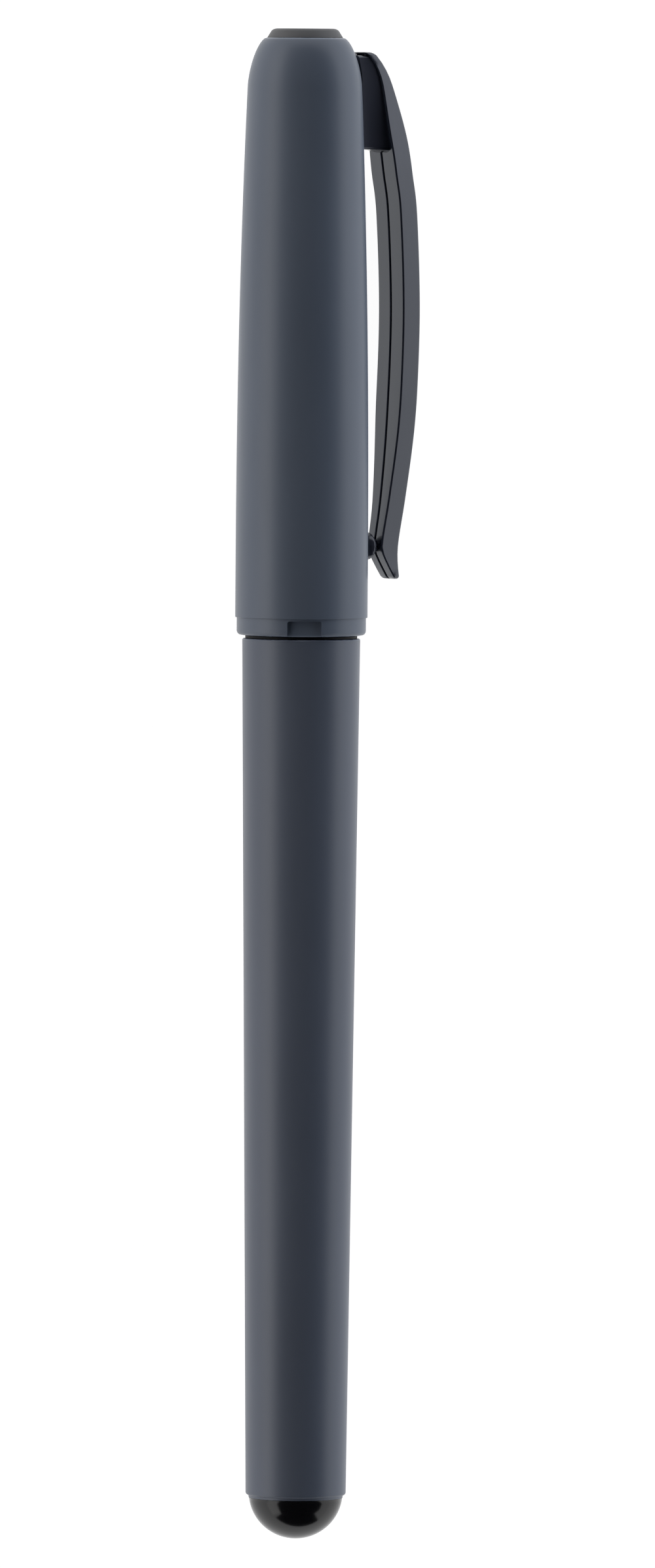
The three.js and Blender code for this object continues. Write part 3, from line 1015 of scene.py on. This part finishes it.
@dataclass
class Cap(SubAssembly):
    """The cap shell, the disc that closes it and the liner that seals the nib."""

    mouth_bore: float = 5.08
    mouth_runout: float = 0.6
    mouth_edge: float = 0.06
    bore: float = 4.95
    cavity_radius: float = 4.37
    lip_radius: float = 5.86
    lip_height: float = 1.6
    lip_edge: float = 0.4
    lip_corner: float = 0.05
    widest_setback: float = 6.0
    shoulder_setback: float = 4.6
    shoulder_radius: float = 5.19
    shoulder_roundness: float = 1.6
    rim_radius: float = 3.52
    rim_edge: float = 0.04
    flare_steepness: float = 2.2
    wall: float = 0.92
    roof_thickness: float = 2.75
    roof_slope: float = 1.1
    body_steps: int = 18
    shoulder_steps: int = 18
    notch_count: int = 3
    notch_width: float = 3.1
    notch_height: float = 1.4
    notch_depth: float = 0.44
    notch_corner: float = 0.2
    notch_steps: int = 4
    slot_room: float = 0.3
    slot_edge: float = 0.1
    tongue_setback: float = 2.2
    tongue_length: float = 3.0
    tongue_width: float = 1.6
    tongue_floor: float = 2.95
    edge_wear_and_highlight: float = 0.14
    plug_hole: float = 3.2
    plug_head_radius: float = 3.45
    plug_face_radius: float = 2.5
    plug_head_edge: float = 0.04
    plug_spigot_radius: float = 3.15
    plug_spigot_edge: float = 0.05
    plug_stem_radius: float = 2.3
    plug_stem_edge: float = 0.15
    plug_round_height: float = 0.45
    plug_round_width: float = 0.65
    plug_round_start: float = 60.0
    plug_round_steps: int = 6
    plug_dish: float = 0.05
    plug_dish_border: float = 0.5
    plug_dish_edge: float = 0.2
    liner_flange: float = 1.7
    liner_flange_radius: float = 4.9
    liner_radius: float = 4.32
    liner_bore: float = 3.7
    liner_end_radius: float = 3.2
    liner_end_bore: float = 1.8
    liner_end_wall: float = 1.2
    liner_end_edge: float = 0.3
    liner_taper: float = 8.0
    liner_taper_edge: float = 0.6
    liner_mouth_edge: float = 0.1
    liner_flange_edge: float = 0.15
    liner_seat_edge: float = 0.05
    plastic: MouldedPlastic = MouldedPlastic("slate cap", (0.115, 0.14, 0.188), 0.38)
    disc: MouldedPlastic = MouldedPlastic("matte grey disc", (0.1, 0.103, 0.11), 0.5)
    natural: MouldedPlastic = MouldedPlastic(
        "natural liner", (0.72, 0.73, 0.74), 0.38, grain=0.6, mottle=0.03
    )

    def build(self) -> None:
        """Builds and dresses the shell, the disc and the liner."""
        self._shell()
        self._disc()
        self._liner()

    def wall_radius(self, station: float) -> float:
        """Gives the outside radius of the cap above its lip.

        Args:
            station: The station.

        Returns:
            The radius there.
        """
        mouth, rim = self.pen.span("cap_shell")
        widest_radius = self.pen.reach("cap_shell")
        shoulder = rim - self.shoulder_setback
        widest = mouth + self.widest_setback
        if station <= shoulder:
            share = max(0.0, (station - widest) / (shoulder - widest))
            return widest_radius - (widest_radius - self.shoulder_radius) * share**self.flare_steepness
        share = min(1.0, (station - shoulder) / self.shoulder_setback)
        power = self.shoulder_roundness
        return lerp(self.rim_radius, self.shoulder_radius, (1 - share**power) ** (1 / power))

    def _outside(self, mouth: float, rim: float) -> Outline:
        """Gives the cap's outside.

        Args:
            mouth: Station of the cap's mouth.
            rim: Station of the rim round its closed end.

        Returns:
            The corners from the mouth to the rim.
        """
        shoulder = rim - self.shoulder_setback
        widest = mouth + self.widest_setback
        widest_radius = self.pen.reach("cap_shell")
        body = [lerp(widest, shoulder, share) for share in shares(self.body_steps)]
        turns = quarter(self.shoulder_steps)[1:]
        round_off = [shoulder + self.shoulder_setback * sine for _, sine in turns]
        return [
            Corner(mouth, self.mouth_bore, self.mouth_edge),
            Corner(mouth, self.lip_radius, self.lip_edge),
            Corner(mouth + self.lip_height, self.lip_radius),
            Corner(mouth + self.lip_height, widest_radius, self.lip_corner),
            *[Corner(station, self.wall_radius(station)) for station in body + round_off],
        ]

    def _shell(self) -> None:
        """Turns the shell, then cuts the lip's notches and the slot for the clip."""
        mouth, rim = self.pen.span("cap_shell")
        seat = self.pen.span("inner_cap")[0] + self.liner_flange
        roof = rim - self.roof_thickness
        runout = self.pen.span("barrel")[1] + self.mouth_runout
        outline = [
            *self._outside(mouth, rim),
            Corner(rim, self.plug_hole, self.rim_edge),
            Corner(roof, self.plug_hole),
            Corner(roof - self.roof_slope, self.cavity_radius),
            Corner(seat, self.cavity_radius),
            Corner(seat, self.bore),
            Corner(runout, self.bore),
            Corner(runout, self.mouth_bore),
        ]
        blank = Blank.turned(outline, self.steps)
        for row in range(self.notch_count):
            turn = self.pen.clip_turn + row * math.tau / self.notch_count
            blank.combine(self._notch(mouth).turn(turn), Join.CUT)
        blank.combine(self._slot().turn(self.pen.clip_turn), Join.CUT)
        # Paler bands at the mouth's edge and at the rim round the disc: wear and painted highlights.
        finish = replace(self.plastic, wear_and_highlight_bands=((mouth, self.edge_wear_and_highlight), (rim, self.edge_wear_and_highlight)))
        self.deliver(blank, "cap_sleeve", "cap_shell", finish)

    def _notch(self, mouth: float) -> Blank:
        """Makes the solid that cuts one notch: open at the mouth, round in its two corners.

        Args:
            mouth: Station of the cap's mouth.

        Returns:
            The cutter, on the +Y side.
        """
        half = self.notch_width / 2
        end = mouth + self.notch_height
        corner = self.notch_corner
        near = arc(end - corner, corner - half, corner, corner, -90, 0, self.notch_steps)
        far = arc(end - corner, half - corner, corner, corner, 0, 90, self.notch_steps)
        start = mouth - self.notch_height
        outline = [Corner(start, -half), *near, *far, Corner(start, half)]
        rings = [
            [Vector((corner.station, height, corner.radius)) for corner in outline]
            for height in (self.lip_radius - self.notch_depth, self.lip_radius + self.wall)
        ]
        return Blank.swept(rings)

    def _slot(self) -> Blank:
        """Makes the solid that cuts the slot for the clip's tongue.

        Returns:
            The cutter, on the +Y side.
        """
        top = self.pen.span("pocket_clip")[1] - self.tongue_setback
        half = self.tongue_width / 2 + self.slot_room
        low = Vector((top - self.tongue_length - self.slot_room, self.tongue_floor, -half))
        high = Vector((top + self.slot_room, self.pen.reach("cap_shell") + self.wall, half))
        return Blank.brick(low, high, self.slot_edge)

    def _disc(self) -> None:
        """Turns the disc in the cap's closed end, with its stem."""
        stem_end, end = self.pen.span("cap_top_plug")
        rim = self.pen.span("cap_shell")[1]
        roof = rim - self.roof_thickness
        face = self.plug_face_radius
        height, width = self.plug_round_height, self.plug_round_width
        dish = end - self.plug_dish
        outline = [
            Corner(stem_end, 0),
            Corner(stem_end, self.plug_stem_radius, self.plug_stem_edge),
            Corner(roof, self.plug_stem_radius),
            Corner(roof, self.plug_spigot_radius, self.plug_spigot_edge),
            Corner(rim, self.plug_spigot_radius),
            Corner(rim, self.plug_head_radius, self.plug_head_edge),
            *arc(end - height, face, height, width, self.plug_round_start, 0, self.plug_round_steps),
            Corner(dish, face - self.plug_dish_border, self.plug_dish_edge),
            Corner(dish, 0),
        ]
        self.turn_piece(outline, "cap_disc", "cap_top_plug", self.disc)

    def _liner(self) -> None:
        """Turns the liner that seals the nib."""
        start, end = self.pen.span("inner_cap")
        floor = end - self.liner_end_wall
        taper = end - self.liner_taper
        seat = start + self.liner_flange
        outline = [
            Corner(floor, 0),
            Corner(floor, self.liner_end_bore, self.liner_end_edge),
            Corner(taper, self.liner_bore, self.liner_taper_edge),
            Corner(start, self.liner_bore, self.liner_mouth_edge),
            Corner(start, self.liner_flange_radius, self.liner_flange_edge),
            Corner(seat, self.liner_flange_radius, self.liner_seat_edge),
            Corner(seat, self.liner_radius),
            Corner(taper, self.liner_radius, self.liner_taper_edge),
            Corner(end, self.liner_end_radius, self.liner_end_edge),
            Corner(end, 0),
        ]
        self.turn_piece(outline, "nib_seal", "inner_cap", self.natural)


@dataclass(kw_only=True)
class Clip(SubAssembly):
    """The pocket clip, in one moulding: arched arm, root block, tongue and nub.

    It is shaped with its arm on the +Y side, where a point is (station, height, across), and
    the height is counted from the pen's axis.
    """

    cap: Cap
    top_thickness: float = 1.0
    top_taper: float = 8.5
    thickness: float = 2.05
    tip_thickness: float = 0.65
    tip_taper: float = 2.7
    half_width: float = 1.98
    top_half_width: float = 1.15
    tip_half_width: float = 1.1
    top_widening: float = 11.0
    tip_narrowing: float = 14.0
    outer_line: tuple[tuple[float, float], ...] = (
        (0, 0.7),
        (0.012, 1.42),
        (0.046, 2.48),
        (0.1, 3.35),
        (0.163, 4.12),
        (0.23, 4.63),
        (0.31, 5.17),
        (0.498, 5.52),
        (0.697, 5.16),
        (0.845, 4.53),
        (0.944, 3.86),
        (1, 4),
    )
    line_steps: int = 480
    ring_steps: int = 72
    end_steps: int = 5
    end_round: float = 0.3
    crown: float = 0.05
    crown_steps: int = 5
    draft: float = 6.0
    outer_edge: float = 0.2
    inner_edge: float = 0.14
    edge_steps: int = 4
    outer_edge_share: float = 0.4
    inner_edge_share: float = 0.25
    groove_width: float = 0.24
    groove_depth: float = 0.35
    groove_least: float = 0.01
    groove_lip: float = 0.06
    groove_start: float = 0.8
    root_top_inset: float = 0.3
    root_length: float = 8.5
    root_half_width: float = 1.0
    root_side_inset: float = 0.06
    root_foot: float = 0.4
    root_corner: float = 0.25
    root_sink: float = 0.3
    root_gap: float = 0.3
    root_steps: int = 12
    root_layers: int = 12
    flare_power: float = 2.6
    swing: float = 3.0
    tongue_edge: float = 0.1
    barb_reach: float = 1.2
    barb_height: float = 0.82
    barb_overlap: float = 1.0
    barb_inset: float = 0.01
    barb_edge: float = 0.08
    nub_setback: float = 3.0
    nub_radius: float = 1.25
    nub_dome: float = 1.0
    nub_cone: float = 0.72
    nub_neck: float = 0.56
    nub_edge: float = 0.06
    nub_neck_edge: float = 0.25
    nub_gap: float = 0.12
    nub_dome_end: float = 100.0
    nub_dome_steps: int = 10
    nub_steps: int = 40
    plastic: MouldedPlastic = MouldedPlastic(
        "charcoal clip",
        (0.033, 0.0355, 0.05),
        0.2,
        grain=0.5,
        grain_depth=0.0008,
        mottle=0.05,
        specular=1.0,
        specular_tint=(0.86, 0.91, 1.0),
    )
    top: float = field(init=False, default=0.0)
    length: float = field(init=False, default=0.0)
    line: list[Vector] = field(init=False, default_factory=list)

    def build(self) -> None:
        """Builds and dresses the clip."""
        tip, self.top = self.pen.span("pocket_clip")
        self.length = self.top - tip
        widest = self.pen.reach("cap_shell")
        points = [Vector((share * self.length, widest + rise)) for share, rise in self.outer_line]
        self.line = [curve_point(points, share) for share in shares(self.line_steps)]
        blank = self._arm()
        for part in (self._root(), self._tongue(), self._barb(), self._nub(tip + self.nub_setback)):
            blank.combine(part, Join.ADD)
        self.deliver(blank, "clip_moulding", "pocket_clip", self.plastic, self.pen.clip_turn)

    def _outer(self, below: float) -> float:
        """Gives the height of the arm's outside.

        Args:
            below: Distance below the clip's top.

        Returns:
            The height there.
        """
        place = bisect_left(self.line, below, key=lambda point: point.x)
        place = min(max(place, 1), len(self.line) - 1)
        start, end = self.line[place - 1], self.line[place]
        return lerp(start.y, end.y, (below - start.x) / (end.x - start.x))

    def _thickness(self, below: float) -> float:
        """Gives the arm's thickness.

        Args:
            below: Distance below the clip's top.

        Returns:
            The thickness there.
        """
        top = lerp(self.top_thickness, self.thickness, smooth(below / self.top_taper))
        share = min(1.0, (self.length - below) / self.tip_taper)
        return min(top, lerp(self.tip_thickness, self.thickness, share))

    def _half_width(self, below: float) -> float:
        """Gives half the arm's width.

        Args:
            below: Distance below the clip's top.

        Returns:
            The half width there.
        """
        over_nub = self.length - self.nub_setback - below
        top = lerp(self.top_half_width, self.half_width, smooth(below / self.top_widening))
        tip = lerp(self.tip_half_width, self.half_width, smooth(over_nub / self.tip_narrowing))
        return min(top, tip)

    def _under(self, below: float) -> float:
        """Gives the height of the arm's underside at a distance below the clip's top."""
        return self._outer(below) - self._thickness(below)

    def _arm(self) -> Blank:
        """Sweeps the arm's section from its top to its tip, with both ends rounded.

        Returns:
            The arm.
        """
        ends = [self.end_round * (1 - cosine) for cosine, _ in quarter(self.end_steps)]
        last = self.length - self.end_round
        middle = [lerp(self.end_round, last, share) for share in shares(self.ring_steps)[1:-1]]
        stops = [*ends, *middle, *[self.length - end for end in reversed(ends)]]
        return Blank.swept([self._ring(below) for below in stops])

    def _ring(self, below: float) -> list[Vector]:
        """Gives the arm's section: crowned outside, two flat strips and a groove underneath.

        Args:
            below: Distance below the clip's top.

        Returns:
            The section's points, in order round it.
        """
        from_end = min(below, self.length - below)
        inside = max(0.0, self.end_round - from_end)
        inset = self.end_round - math.sqrt(self.end_round**2 - inside**2)
        thick = self._thickness(below) - inset
        slant = math.tan(math.radians(self.draft))
        half = self._half_width(below) - inset + thick / 2 * slant
        outer = min(self.outer_edge, thick * self.outer_edge_share)
        inner = min(self.inner_edge, thick * self.inner_edge_share)
        crown_end = half - outer - thick * slant
        drop = self.crown * (crown_end / half) ** 2
        root_bottom = self.root_top_inset + self.root_length
        open_share = smooth((below - root_bottom) / self.groove_start + 1)
        depth = max(self.groove_least, min(self.groove_depth, thick / 2) * open_share)
        lip = min(self.groove_lip, depth / 2)
        slot = self.groove_width / 2
        bends = quarter(self.edge_steps)
        crown = [lerp(crown_end, 0, share) for share in shares(self.crown_steps)[1:-1]]
        side = [
            (slot, thick - depth),
            (slot, thick - lip),
            (slot + lip, thick),
            *[(half - inner + inner * across, thick - inner + inner * down) for down, across in bends],
            *[(crown_end + outer * across, drop + outer - outer * up) for across, up in bends],
            *[(across, self.crown * (across / half) ** 2) for across in crown],
        ]
        section = [*side, (0, 0), *[(-across, down) for across, down in reversed(side)]]
        high = self._outer(below) - inset / 2
        return [Vector((self.top - below, high - down, across)) for across, down in section]

    def _root(self) -> Blank:
        """Sweeps the root block from the cap's wall up into the arm, flaring to the arm's width.

        Returns:
            The block.
        """
        top = self.top - self.root_top_inset
        bottom = top - self.root_length
        plan = self._root_plan(bottom, top)
        rings = []
        for level in shares(self.root_layers):
            flare = level**self.flare_power
            ring = []
            for spot, outwards in plan:
                station = spot.x + self.root_foot * flare * min(0.0, outwards.x)
                below = self.top - station
                dip = max(0.0, station - self._hinge()) * math.tan(math.radians(self.swing))
                wall = self.cap.wall_radius(station) + self.root_gap + dip
                height = lerp(wall, self._under(below) + self.root_sink, level)
                room = self._half_width(below) - self.root_side_inset - self.root_half_width
                across = spot.y + flare * room * outwards.y
                ring.append(Vector((station, height, across)))
            rings.append(ring)
        return Blank.swept(rings)

    def _root_plan(self, bottom: float, top: float) -> list[tuple[Vector, Vector]]:
        """Gives the root block's outline seen from outside.

        Args:
            bottom: Its lower station.
            top: Its upper station.

        Returns:
            Points (station, across) in order round it, each with the way that it faces.
        """
        corner = self.root_corner
        half = self.root_half_width
        plan = []
        spots = ((top, half), (bottom, half), (bottom, -half), (top, -half))
        for turns, (station, across) in enumerate(spots):
            inwards = Vector((-1 if station == top else 1, -1 if across > 0 else 1)) * corner
            middle = Vector((station, across)) + inwards
            for share in shares(self.edge_steps):
                angle = math.pi / 2 * (turns + share)
                way = Vector((math.cos(angle), math.sin(angle)))
                plan.append((middle + corner * way, way))
            if turns in (0, 2):
                start, end = (top - corner, bottom + corner)[:: 1 if turns == 0 else -1]
                facing = Vector((0, math.copysign(1, across)))
                for share in shares(self.root_steps)[1:-1]:
                    plan.append((Vector((lerp(start, end, share), across)), facing))
        return plan

    def _hinge(self) -> float:
        """Gives the station about which the clip swings."""
        return self.top - self.cap.tongue_setback - self.cap.tongue_length

    def _tongue(self) -> Blank:
        """Makes the tongue that stands in the cap's slot.

        Returns:
            The tongue.
        """
        half = self.cap.tongue_width / 2
        hinge = self._hinge()
        high = self.pen.reach("cap_shell") + self.cap.wall
        low_corner = Vector((hinge, self.cap.tongue_floor, -half))
        high_corner = Vector((hinge + self.cap.tongue_length, high, half))
        return Blank.brick(low_corner, high_corner, self.tongue_edge)

    def _barb(self) -> Blank:
        """Makes the barb that keeps the tongue in the slot.

        Returns:
            The barb.
        """
        half = self.cap.tongue_width / 2 - self.barb_inset
        hinge = self._hinge()
        floor = self.cap.tongue_floor
        low_corner = Vector((hinge - self.barb_reach, floor + self.barb_inset, -half))
        high_corner = Vector((hinge + self.barb_overlap, floor + self.barb_height, half))
        return Blank.brick(low_corner, high_corner, self.barb_edge)

    def _nub(self, station: float) -> Blank:
        """Turns the nub that holds what is clipped: a domed foot on a narrow neck.

        Args:
            station: The nub's station.

        Returns:
            The nub, standing on the cap's wall.
        """
        foot = self.cap.wall_radius(station) + self.nub_gap
        neck_top = self._under(self.top - station) - foot + self.thickness / 3
        dome = self.nub_dome
        outline = [
            Corner(0, 0),
            *arc(dome, 0, dome, self.nub_radius, 180, self.nub_dome_end, self.nub_dome_steps)[1:],
            Corner(dome, self.nub_radius, self.nub_edge),
            Corner(dome + self.nub_cone, self.nub_neck, self.nub_neck_edge),
            Corner(neck_top, self.nub_neck),
            Corner(neck_top, 0),
        ]
        blank = Blank.turned(outline, self.nub_steps)
        upright = Matrix.Translation((station, foot, 0)) @ Matrix.Rotation(math.pi / 2, 4, "Z")
        bmesh.ops.transform(blank.bm, matrix=upright, verts=blank.bm.verts)
        return blank


@dataclass
class Ink(SubAssembly):
    """The fibre rod, its film and the wick, which keep their CAD shapes inside the barrel."""

    rod: Fibre = Fibre("inked reservoir fibre", (0.05, 0.05, 0.062), (0.01, 0.01, 0.013), 0.14, 0.02)
    wick: Fibre = Fibre("inked wick fibre", (0.035, 0.035, 0.042), (0.008, 0.008, 0.011), 0.08, 0.01)
    film: ClearFilm = ClearFilm("clear wrap film", (0.82, 0.84, 0.87), 1.4, 0.01)

    def build(self) -> None:
        """Dresses the hidden pieces."""
        finishes = {"ink_reservoir": self.rod, "transfer_wick": self.wick, "reservoir_wrap": self.film}
        for node, finish in finishes.items():
            frame["nodes"][node].material_slots[0].material = finish.surface(self.pen)
            log.info("%s keeps its CAD shape in %s", node, finish.name)


@dataclass(frozen=True)
class Softbox:
    """A long soft lamp beside the pen, seen from it between two angles from the camera's direction."""

    name: str
    start: float
    end: float
    radiance: float
    colour: Colour
    mirrored: bool
    towards_cap: float = 0.0
    length: float = 1.2
    distance: float = 0.5

    def build(self, back: Vector, right: Vector) -> None:
        """Places the lamp.

        Args:
            back: The way from the pen to the camera.
            right: The way to the image's right.
        """
        middle = math.radians((self.start + self.end) / 2)
        spread = math.radians(abs(self.end - self.start) / 2)
        away = back * math.cos(middle) + right * math.sin(middle)
        data = bpy.data.lights.new(self.name, "AREA")
        data.shape = "RECTANGLE"
        data.size = self.length
        data.size_y = 2 * self.distance * math.tan(spread)
        data.energy = self.radiance * math.pi * data.size * data.size_y
        data.color = self.colour
        lamp = bpy.data.objects.new(self.name, data)
        bpy.context.scene.collection.objects.link(lamp)
        turn = Matrix((ALONG, away.cross(ALONG), away)).transposed().to_4x4()
        place = away * self.distance + ALONG * self.towards_cap
        lamp.matrix_world = Matrix.Translation(place) @ turn
        lamp.visible_camera = False
        lamp.visible_glossy = self.mirrored


@dataclass
class Studio:
    """Pale floor, soft light, a dark flag over the pen, and the camera."""

    pen: Pen
    distance: float = 1.5
    sensor: float = 36.0
    clip_start: float = 0.01
    clip_end: float = 50.0
    pixels_per_mm: float = 16.835
    tilt_to_cap: float = 2.45
    tilt_from_clip: float = 11.55
    roll: float = 0.384
    pen_left_of_centre: float = 2.47
    pen_below_centre: float = 0.08
    floor_size: float = 8.0
    floor_grey: float = 0.85
    floor_glow: float = 0.7
    glow_strength: float = 1.37
    flag_grey: float = 0.01
    flag_height: float = 0.5
    flag_reach: float = 1.2
    flag_reach_cap: float = 0.85
    flag_left: float = 48.0
    flag_right: float = 72.0
    end_distance: float = 0.6
    end_half_width: float = 0.42
    end_lift: float = 0.001
    softboxes: tuple[Softbox, ...] = (
        Softbox("left softbox", -78.0, -50.0, 0.42, (1.0, 0.99, 0.97), True),
        Softbox("low left softbox", -78.0, -62.0, 2.0, (1.0, 0.93, 0.86), False),
        Softbox("right softbox", 70.0, 101.0, 1.6, (0.88, 0.94, 1.0), False),
        Softbox("clip softbox", 72.0, 101.0, 0.28, (0.82, 0.86, 1.0), True, 0.5, 0.9),
    )
    back: Vector = field(init=False, default_factory=Vector)

    def build(self) -> None:
        """Sets up the camera, the floor, the world, the flag and the lamps."""
        tilt, lean = math.radians(self.tilt_to_cap), math.radians(self.tilt_from_clip)
        self.back = Vector(
            (math.sin(tilt), math.cos(tilt) * math.sin(lean), math.cos(tilt) * math.cos(lean))
        )
        self._camera()
        self._floor()
        self._world()
        self._flag()
        for softbox in self.softboxes:
            softbox.build(self.back, self._right())
        bpy.context.scene.view_settings.view_transform = "Standard"

    def _right(self) -> Vector:
        """Gives the way to the image's right, before the camera's roll."""
        return ALONG.cross(self.back).normalized()

    def _camera(self) -> None:
        """Places the camera at the photograph's viewing angle."""
        level_right = self._right()
        level_up = self.back.cross(level_right)
        roll = math.radians(self.roll)
        up = level_up * math.cos(roll) - level_right * math.sin(roll)
        right = up.cross(self.back)
        aside = (right * self.pen_left_of_centre + up * self.pen_below_centre) * MM
        centre = Vector((0, self.pen.tail.y, self.pen.tail.z)) + aside
        data = bpy.data.cameras.new("camera")
        data.sensor_width = self.sensor
        data.lens = self.sensor * self.distance / (PHOTO_HEIGHT / self.pixels_per_mm * MM)
        data.clip_start, data.clip_end = self.clip_start, self.clip_end
        camera = bpy.data.objects.new("camera", data)
        bpy.context.scene.collection.objects.link(camera)
        turn = Matrix((right, up, self.back)).transposed().to_4x4()
        camera.matrix_world = Matrix.Translation(centre + self.back * self.distance) @ turn
        bpy.context.scene.camera = camera

    @staticmethod
    def _seen(nodes: Nodes) -> Value:
        """Gives 1 for the rays that show the background: camera, glossy and transmission rays.

        Args:
            nodes: The floor's tree.

        Returns:
            The mask.
        """
        return sum(
            nodes.add("ShaderNodeLightPath", {}, {}, f"Is {kind} Ray")
            for kind in ("Camera", "Glossy", "Transmission")
        )

    def _floor(self) -> None:
        """Lays the pale floor, bright behind the pen but still taking its shadow."""
        bm = bmesh.new()
        bmesh.ops.create_grid(bm, x_segments=1, y_segments=1, size=self.floor_size / 2)
        self._sheet("floor", bm, new_material("pale floor", self._glowing))

    def _glowing(self, nodes: Nodes) -> Value:
        """Wires the floor's shader, which glows only as a background.

        Args:
            nodes: The floor's tree.

        Returns:
            The shader.
        """
        glow = nodes.add("ShaderNodeEmission", {}, {"Strength": self.glow_strength})
        matt = self._matt(nodes, self.floor_grey)
        share = self._seen(nodes) * self.floor_glow
        return nodes.add("ShaderNodeMixShader", {}, {0: share, 1: matt, 2: glow})

    @staticmethod
    def _matt(nodes: Nodes, grey: float) -> Value:
        """Wires a matt grey shader."""
        return nodes.add("ShaderNodeBsdfDiffuse", {}, {"Color": (grey, grey, grey, 1)})

    def _world(self) -> None:
        """Makes the world an even white."""
        world = bpy.data.worlds.new("studio")
        bpy.context.scene.world = world
        world.use_nodes = True
        nodes = Nodes(world.node_tree)
        background = nodes.add("ShaderNodeBackground", {}, {"Color": (1, 1, 1, 1), "Strength": 1.0})
        nodes.add("ShaderNodeOutputWorld", {}, {"Surface": background})

    def _flag(self) -> None:
        """Hangs a dark flag over the pen and one past its tail, and leaves it light from the sides."""
        right = self._right()
        high = self.back * self.flag_height
        near, far = (
            right * self.flag_height * math.tan(math.radians(angle))
            for angle in (-self.flag_left, self.flag_right)
        )
        tail_end, cap_end = ALONG * -self.flag_reach, ALONG * self.flag_reach_cap
        sides = ((near, tail_end), (far, tail_end), (far, cap_end), (near, cap_end))
        over = [high + aside + end for aside, end in sides]
        ends = (self.end_half_width, -self.end_half_width)
        low = [Vector((-self.end_distance, end, self.end_lift)) for end in ends]
        past = [*low, *[corner + Vector((0, 0, self.flag_height)) for corner in reversed(low)]]
        bm = bmesh.new()
        for corners in (over, past):
            bm.faces.new([bm.verts.new(corner) for corner in corners])
        black = new_material("dark flag", lambda nodes: self._matt(nodes, self.flag_grey))
        self._sheet("flag", bm, black).visible_camera = False

    @staticmethod
    def _sheet(name: str, bm: bmesh.types.BMesh, material: bpy.types.Material) -> bpy.types.Object:
        """Makes a flat stage piece.

        Args:
            name: Its name.
            bm: Its mesh, which is used up.
            material: Its material.

        Returns:
            The piece.
        """
        mesh = bpy.data.meshes.new(name)
        bm.to_mesh(mesh)
        bm.free()
        mesh.materials.append(material)
        sheet = bpy.data.objects.new(name, mesh)
        bpy.context.scene.collection.objects.link(sheet)
        return sheet


def main() -> None:
    """Builds the marker and its studio."""
    logging.basicConfig(level=logging.INFO, format="%(name)s: %(message)s")
    pen = Pen.from_frame()
    cap = Cap(pen)
    for assembly in (Barrel(pen), Ink(pen), WritingEnd(pen), cap, Clip(pen=pen, cap=cap)):
        assembly.build()
    Studio(pen).build()


if __name__ == "__main__":
    main()
